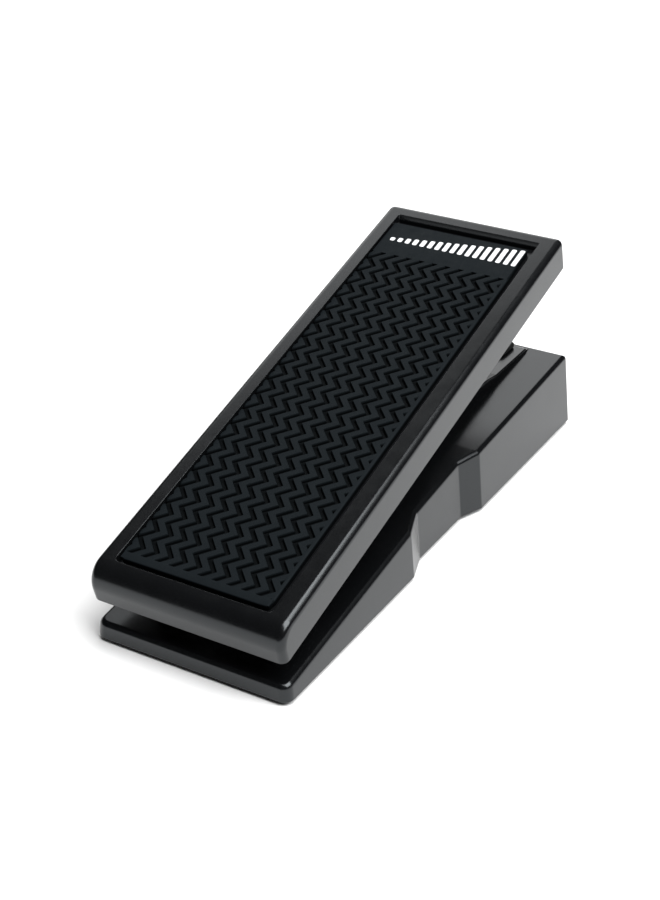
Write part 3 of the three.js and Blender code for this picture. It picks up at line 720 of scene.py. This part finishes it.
def pan_screw(node):
    """A pan-head screw seen from below, with a cross recess in its head."""
    lo, hi, place = box_and_axis(node)
    head = (hi.x - lo.x) / 2
    shank, head_height, point, length = head / 2, 1, 1, hi.z - lo.z
    dome = [(0, 0), (head * 0.55, 0.06), (head * 0.85, 0.25), (head, 0.6), (head, head_height)]
    profile = dome + [(shank, head_height), (shank, length - point), (0, length)]
    profile = [(radius, lo.z + height) for radius, height in profile]
    screw = bake(turned(node + "_fine", profile, place, sides=32))
    arm, thick, drive_depth = head * 0.55, head * 0.16, 0.6
    x, y = place[:2]
    for a, b in ((arm, thick), (thick, arm)):
        cut(screw, block("drive", x - a, x + a, y - b, y + b, lo.z - 1, lo.z + drive_depth))
    return finish_edges(screw, 30)


def rubber_stop(node):
    lo, hi, place = box_and_axis(node)
    radius, stem, shoulder = (hi.x - lo.x) / 2, 2.6, 15.5
    profile = [(0, lo.z), (stem, lo.z), (stem, shoulder), (radius - 0.3, shoulder)]
    profile += [(radius, shoulder + 0.3), (radius - 0.1, hi.z - 1.6), (radius - 0.5, hi.z - 0.5)]
    profile += [(radius - 1.5, hi.z), (0, hi.z)]
    return turned(node + "_fine", profile, place)


def toe_pad():
    lo, hi = node_box("toe_stop")
    corner = 2.5
    corners = [(x, y, corner) for x, y in ((lo.x, lo.y), (hi.x, lo.y), (hi.x, hi.y), (lo.x, hi.y))]
    return prism("toe_pad", rounded(corners, steps=8), lo.z, hi.z, 0.5, Matrix())


def under_plate():
    """The plate that closes the base, with holes for its screws and for the feet's stems."""
    clearance, through = 0.4, 6
    inset, below = BASE_WALL + clearance, BASE_BOTTOM - 2
    body = wedge("under_plate", inset, 0, edge=0.2, bottom=below, bottom_edge=0.1)
    lo, hi = node_box("bottom_plate")
    cut(body, slab(-150, 150, hi.z, 90), slab(-150, 150, -20, lo.z))
    for node, radius in [(node, 1.8) for node in PLATE_SCREWS] + [(node, 2.9) for node in FEET]:
        at = box_middle(node)
        cut(body, rod(radius, 0, through, (at.x, at.y, 0), sides=24))
    return soften(body, 0.15, 1)


def at_jack():
    """The jack's axis, at y = 0."""
    middle = box_middle("jack_socket")
    return Vector((middle.x, 0, middle.z))


def jack_front():
    """The jack's body with its threaded collar and bore."""
    lo, hi = node_box("jack_socket")
    pitch, crest, root, bore = 0.75, 4.4, 4.1, 3.3
    blind_end, shoulder, tip = 108, 130.2, hi.y
    thread = []
    for turn in range(int((tip - 1 - shoulder) / pitch) + 1):
        y = shoulder + turn * pitch
        thread += [(root, y), (crest, y + pitch / 2)]
    mouth = [(root, tip - 0.5), (4, tip), (3.6, tip), (bore, tip - 0.3), (bore, shoulder - 1)]
    collar = turned("collar", [(root, shoulder - 1), *thread, *mouth], at_jack(), "Y", 64)
    body = block("jack_front", lo.x, hi.x, lo.y, shoulder, lo.z, hi.z)
    cut(body, rod(bore, blind_end, tip, at_jack(), "Y"))
    bake(soften(body, 0.4))
    merge(body, bake(collar))
    tidy(body, 30)
    return body


def jack_washer():
    lo, hi = node_box("jack_washer")
    outer, inner = (hi.x - lo.x) / 2, NUT_BORE
    profile = [(inner, lo.y), (outer - 0.1, lo.y), (outer, lo.y + 0.15)]
    profile += [(outer, hi.y - 0.15), (outer - 0.1, hi.y), (inner, hi.y)]
    return turned("jack_washer_fine", profile, at_jack(), "Y", 64)


def jack_nut():
    """A hexagonal nut with a domed outer face."""
    lo, hi = node_box("jack_nut")
    outer = (hi.x - lo.x) / 2
    corners = [(*polar(outer, degrees), 0) for degrees in range(0, 360, 60)]
    face = Matrix.Translation(at_jack() + Vector((0, hi.y, 0)))
    face = face @ Matrix.Rotation(math.pi / 2, 4, "X")
    body = prism("jack_nut_fine", rounded(corners), 0, hi.y - lo.y, 0.25, face)
    dome = [(0, lo.y - 1), (outer + 1, lo.y - 1), (outer + 1, hi.y - 0.9)]
    dome += [(outer - 1.1, hi.y + 0.1), (0, hi.y + 0.1)]
    combine(body, [turned("dome", dome, at_jack(), "Y", 64)], "INTERSECT")
    cut(body, rod(NUT_BORE, lo.y - 1, hi.y + 1, at_jack(), "Y", 64))
    return finish_edges(body, 30)


def knob():
    """The fluted range knob with its pointer groove."""
    lo, hi = node_box("range_knob")
    middle = (lo + hi) / 2
    flutes, steps, rim, flute_depth = 18, 8, 8.4, 0.65
    path = []
    for k in range(flutes * steps):
        share = k / steps
        radius = rim - flute_depth * (0.5 + 0.5 * math.cos(2 * math.pi * share)) ** 2
        path.append(Vector(polar(radius, share * 360 / flutes)))
    place = Matrix.Translation((lo.x, middle.y, middle.z)) @ Matrix.Rotation(math.pi / 2, 4, "Y")
    body = prism("range_knob_fine", path, 0, hi.x - lo.x, 0.5, place)
    face, bore = 1.9, 3.25
    cut(body, rod(bore, lo.x + face, hi.x + 2, (0, middle.y, middle.z), "X"))
    half, depth, start, stop = 0.5, 0.6, 2, 9
    y, z = middle.y, middle.z
    cut(body, block("pointer", lo.x - 1, lo.x + depth, y - half, y + half, z + start, z + stop))
    return finish_edges(body, 30)


def slider():
    """The polarity slider's tab with finger ridges."""
    lo, hi = node_box("polarity_switch_slider")
    body = block("polarity_slider_fine", lo.x, hi.x, lo.y, hi.y, lo.z, hi.z)
    half, depth = 0.22, 0.4
    for step in (-1, 0, 1):
        x = (lo.x + hi.x) / 2 + step
        cut(body, block("groove", x - half, x + half, hi.y - depth, hi.y + 1, lo.z - 1, hi.z + 1))
    return soften(body, 0.12, 2)


def axle():
    """The pivot axle with its grooves for the clips."""
    end = node_box("pivot_axle")[1].x
    radius, groove, groove_from, groove_to = 2.5, 1.9, 30.85, 31.95
    half = [(radius, groove_from), (groove, groove_from), (groove, groove_to), (radius, groove_to)]
    half += [(radius, end - 0.4), (radius - 0.4, end), (0, end)]
    mirrored = [(r, -x) for r, x in reversed(half)]
    return turned("pivot_axle_fine", mirrored + half, PIVOT, "X")


def clip(node):
    """An E-shaped retaining clip: an open ring with three teeth on its inner edge."""
    lo, hi = node_box(node)
    outer, inner, tooth, tooth_half = 4.8, 3.1, 2.1, 14
    first, last, steps = -60, 240, 48
    angles = [first + (last - first) * k / steps for k in range(steps + 1)]
    outline = [Vector(polar(outer, angle)) for angle in angles]
    for angle in reversed(angles):
        in_tooth = any(abs(angle - middle) < tooth_half for middle in (-30, 90, 210))
        outline.append(Vector(polar(tooth if in_tooth else inner, angle)))
    place = Matrix.Translation((lo.x, PIVOT.y, PIVOT.z)) @ Matrix.Rotation(math.pi / 2, 4, "Y")
    place = place @ Matrix.Rotation(math.pi, 4, "Z")
    return prism(node + "_fine", outline, 0, hi.x - lo.x, 0.1, place)


def bushing(node):
    """A flanged plain bearing, its flange outwards."""
    lo, hi = node_box(node)
    side = 1 if hi.x > 0 else -1
    start, stop = sorted((abs(lo.x), abs(hi.x)))
    bore, body, flange, flange_thick = 2.7, 3.9, 5.6, 1
    profile = [(bore, start), (body, start), (body, stop - flange_thick)]
    profile += [(flange - 0.2, stop - flange_thick), (flange, stop - flange_thick + 0.2)]
    profile += [(flange, stop - 0.2), (flange - 0.2, stop), (bore + 0.2, stop), (bore, stop - 0.2)]
    return turned(node + "_fine", [(r, side * x) for r, x in profile], PIVOT, "X")


# ==== Materials ====
def new_material(name):
    material = bpy.data.materials.new(name)
    material.use_nodes = True
    tree = material.node_tree
    return material, tree, tree.nodes["Principled BSDF"]


def place_in_object(tree):
    """The point being shaded, in the object's own space."""
    return tree.nodes.new("ShaderNodeTexCoord").outputs["Object"]


def noise(tree, scale, detail=3, roughness=0.55, place=None):
    """A noise texture; scale is in features per metre."""
    texture = tree.nodes.new("ShaderNodeTexNoise")
    texture.inputs["Scale"].default_value = scale
    texture.inputs["Detail"].default_value = detail
    texture.inputs["Roughness"].default_value = roughness
    tree.links.new(place or place_in_object(tree), texture.inputs["Vector"])
    return texture.outputs["Fac"]


def remap(tree, value, lo, hi, start=0.3, stop=0.7):
    """The run of value from start to stop, turned into a run from lo to hi."""
    node = tree.nodes.new("ShaderNodeMapRange")
    node.inputs["From Min"].default_value = start
    node.inputs["From Max"].default_value = stop
    node.inputs["To Min"].default_value = lo
    node.inputs["To Max"].default_value = hi
    tree.links.new(value, node.inputs["Value"])
    return node.outputs["Result"]


def blend_colours(tree, value, first, second):
    """A mix of two colours, each a plain colour or another node's output."""
    node = tree.nodes.new("ShaderNodeMix")
    node.data_type = "RGBA"
    tree.links.new(value, node.inputs[0])
    for socket, colour in ((node.inputs[6], first), (node.inputs[7], second)):
        if isinstance(colour, tuple):
            socket.default_value = (*colour, 1)
        else:
            tree.links.new(colour, socket)
    return node.outputs[2]


def groove_shade_mask(tree):
    """1 on top of the mat's ribs, falling to 0 down in the grooves: the mask of the painted shade
    in the grooves.
    """
    square_to_mat = Vector((0, -math.sin(TILT), math.cos(TILT)))
    height = tree.nodes.new("ShaderNodeVectorMath")
    height.operation = "DOT_PRODUCT"
    height.inputs[1].default_value = square_to_mat
    tree.links.new(place_in_object(tree), height.inputs[0])
    top = (TO_TREADLE @ Vector((0, 0, MAT_TOP))).dot(square_to_mat) * MM
    return remap(tree, height.outputs["Value"], 0, 1, top - 0.9 * MM, top - 0.05 * MM)


def bump(tree, shader, height, strength, distance):
    """Gives the shader a relief; distance is its depth in metres."""
    node = tree.nodes.new("ShaderNodeBump")
    node.inputs["Strength"].default_value = strength
    node.inputs["Distance"].default_value = distance
    tree.links.new(height, node.inputs["Height"])
    tree.links.new(node.outputs["Normal"], shader.inputs["Normal"])


def plastic(name, dark, light, rough_lo, rough_hi, grain=1800):
    """Moulded plastic: slightly uneven colour and gloss over a fine spark-eroded grain."""
    material, tree, shader = new_material(name)
    shader.inputs["Specular Tint"].default_value = (0.91, 0.965, 1, 1)
    colour = blend_colours(tree, noise(tree, 35), dark, light)
    gloss = remap(tree, noise(tree, 120, detail=5), rough_lo, rough_hi)
    tree.links.new(colour, shader.inputs["Base Color"])
    tree.links.new(gloss, shader.inputs["Roughness"])
    bump(tree, shader, noise(tree, grain, detail=2), 0.35, 0.00003)
    return material


def rubber(name, dark, light, shade_grooves=False):
    """Moulded rubber: matte and faintly dusty in patches; the mat's grooves can get painted shade,
    a darker colour down in them.
    """
    material, tree, shader = new_material(name)
    shader.inputs["Specular IOR Level"].default_value = 0.06
    shader.inputs["Specular Tint"].default_value = (0.85, 0.95, 1, 1)
    colour = blend_colours(tree, noise(tree, 70, detail=6, roughness=0.65), dark, light)
    # Painted shade: the grooves are coloured darker, as if the light fell off inside them.
    if shade_grooves:
        groove_shade_colour = tuple(channel * 0.2 for channel in dark)
        colour = blend_colours(tree, groove_shade_mask(tree), groove_shade_colour, colour)
    gloss = remap(tree, noise(tree, 260, detail=4), 0.55, 0.7)
    tree.links.new(colour, shader.inputs["Base Color"])
    tree.links.new(gloss, shader.inputs["Roughness"])
    bump(tree, shader, noise(tree, 900), 0.4, 0.00005)
    return material


def metal(name, dark, light, rough_lo, rough_hi, stretch=(1, 1, 1), scale=600):
    """Bare or plated metal with fine drawn streaks."""
    material, tree, shader = new_material(name)
    shader.inputs["Metallic"].default_value = 1
    mapping = tree.nodes.new("ShaderNodeMapping")
    mapping.inputs["Scale"].default_value = stretch
    tree.links.new(place_in_object(tree), mapping.inputs["Vector"])
    streaks = noise(tree, scale, detail=4, roughness=0.5, place=mapping.outputs["Vector"])
    colour = blend_colours(tree, noise(tree, 90, detail=4), dark, light)
    tree.links.new(colour, shader.inputs["Base Color"])
    tree.links.new(remap(tree, streaks, rough_lo, rough_hi), shader.inputs["Roughness"])
    bump(tree, shader, streaks, 0.2, 0.00002)
    return material


def grey(level):
    return (level, level, level)


# Darkest and lightest colour of each patchy finish, then its lowest and highest roughness.
MATERIALS = {
    "housing_plastic": plastic(
        "housing_plastic", (0.0026, 0.0028, 0.0032), (0.0038, 0.0041, 0.0046), 0.2, 0.25
    ),
    "tread_rubber": rubber(
        "tread_rubber", (0.0052, 0.007, 0.0084), (0.0071, 0.0094, 0.011), shade_grooves=True
    ),
    "stop_rubber": rubber("stop_rubber", grey(0.008), grey(0.013)),
    "bright_steel": metal("bright_steel", (0.5, 0.5, 0.51), (0.66, 0.66, 0.67), 0.22, 0.38),
    "zinc_plate": metal(
        "zinc_plate", (0.33, 0.34, 0.35), (0.47, 0.48, 0.49), 0.34, 0.5, (1, 0.08, 1), 900
    ),
    "bushing_brass": metal("bushing_brass", (0.5, 0.36, 0.15), (0.62, 0.47, 0.22), 0.25, 0.4),
    "gear_acetal": plastic(
        "gear_acetal", (0.62, 0.59, 0.52), (0.7, 0.67, 0.6), 0.35, 0.5, grain=1200
    ),
    "board_green": plastic("board_green", (0.012, 0.075, 0.03), (0.02, 0.1, 0.045), 0.25, 0.4),
    "component_black": plastic("component_black", grey(0.01), grey(0.018), 0.4, 0.6),
    "ribbon_grey": plastic("ribbon_grey", (0.24, 0.25, 0.26), (0.3, 0.31, 0.32), 0.45, 0.6),
    "print_white": plastic(
        "print_white", (0.78, 0.79, 0.8), (0.86, 0.87, 0.88), 0.45, 0.6, grain=1500
    ),
}


def dress(obj, slot_name, material=None):
    """Gives an object its material: the one named for the record's slot, or the one given."""
    obj.data.materials.clear()
    obj.data.materials.append(MATERIALS[material or slot_name])
    return obj


# ==== Assembly ====
BODIES = frame["record"]["behaviour"]["bodies"]
BODY_OF = {node: body for body, nodes in BODIES.items() for node in nodes}
SLOT_OF = {part["node"]: part["material_slot"] for part in frame["record"]["subparts"]}
replaced = set()


def stand_for(piece, node):
    """Puts a fine piece in the place of a CAD node, on its body and with its finish."""
    dress(piece, SLOT_OF[node])
    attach(piece, BODY_OF[node])
    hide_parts(node)
    replaced.add(node)


def stand_for_each(make_piece, nodes):
    for node in nodes:
        stand_for(make_piece(node), node)


stand_for(base_housing(), "base_shell")
stand_for(treadle_housing(), "treadle_shell")
stand_for(tread_rubber(), "tread_mat")
mark = dress(level_print(), "tread_rubber", "print_white")
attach(mark, "treadle")
stand_for_each(rubber_foot, FEET)
stand_for_each(pan_screw, PLATE_SCREWS)
stand_for_each(rubber_stop, HEEL_STOPS)
stand_for_each(bushing, ("axle_bushing_left", "axle_bushing_right"))
stand_for_each(clip, ("axle_clip_left", "axle_clip_right"))
stand_for(toe_pad(), "toe_stop")
stand_for(under_plate(), "bottom_plate")
stand_for(jack_front(), "jack_socket")
stand_for(jack_washer(), "jack_washer")
stand_for(jack_nut(), "jack_nut")
stand_for(knob(), "range_knob")
stand_for(slider(), "polarity_switch_slider")
stand_for(axle(), "pivot_axle")

for cad_node, cad_object in frame["nodes"].items():
    if cad_node not in replaced:
        dress(cad_object, SLOT_OF[cad_node])


# ==== Floor, light and camera ====
def floor():
    half = 6000
    corners = [(-half, -half, 0), (half, -half, 0), (half, half, 0), (-half, half, 0)]
    plane = make("floor", corners, [(0, 1, 2, 3)])
    material, _, shader = new_material("floor_white")
    shader.inputs["Base Color"].default_value = (0.9, 0.9, 0.9, 1)
    shader.inputs["Roughness"].default_value = 0.9
    shader.inputs["Specular IOR Level"].default_value = 0
    plane.data.materials.append(material)


def soft_box(name, location, target, size, power):
    """A rectangular light at location that faces target."""
    data = bpy.data.lights.new(name, "AREA")
    data.shape = "RECTANGLE"
    data.size, data.size_y = size
    data.energy = power
    light = bpy.data.objects.new(name, data)
    light.location = location
    light.rotation_mode = "QUATERNION"
    light.rotation_quaternion = (Vector(target) - Vector(location)).to_track_quat("-Z", "Y")
    bpy.context.scene.collection.objects.link(light)


def world(strength):
    made = bpy.data.worlds.new("studio")
    made.use_nodes = True
    background = made.node_tree.nodes["Background"]
    background.inputs["Color"].default_value = (1, 1, 1, 1)
    background.inputs["Strength"].default_value = strength
    bpy.context.scene.world = made


def camera():
    """The photograph's camera, with its angles and lens solved from the outlines."""
    azimuth, elevation, roll = (math.radians(a) for a in (30.417, 29.068, -0.168))
    focal_over_frame = 1675.4 / 900
    distance = 0.7559
    target = Vector((-0.0143, 0, 0.0322))
    back = Vector((math.sin(azimuth), -math.cos(azimuth), 0)) * math.cos(elevation)
    back.z = math.sin(elevation)
    data = bpy.data.cameras.new("camera")
    data.sensor_width = 36
    data.lens = data.sensor_width * focal_over_frame
    shown = bpy.data.objects.new("camera", data)
    shown.rotation_mode = "QUATERNION"
    level = (-back).to_track_quat("-Z", "Y").to_matrix()
    shown.rotation_quaternion = (level @ Matrix.Rotation(roll, 3, "Z")).to_quaternion()
    shown.location = target + back * distance
    bpy.context.scene.collection.objects.link(shown)
    bpy.context.scene.camera = shown


floor()
world(0.03)
soft_box("key", (1.1, -0.15, 2.36), target=(0, 0, 0), size=(1.9, 3), power=148)
soft_box("back", (-0.64, 0.99, 0.76), target=(0, 0.1, 0.1), size=(1.1, 1), power=6)
camera()
bpy.context.scene.view_settings.view_transform = "Standard"
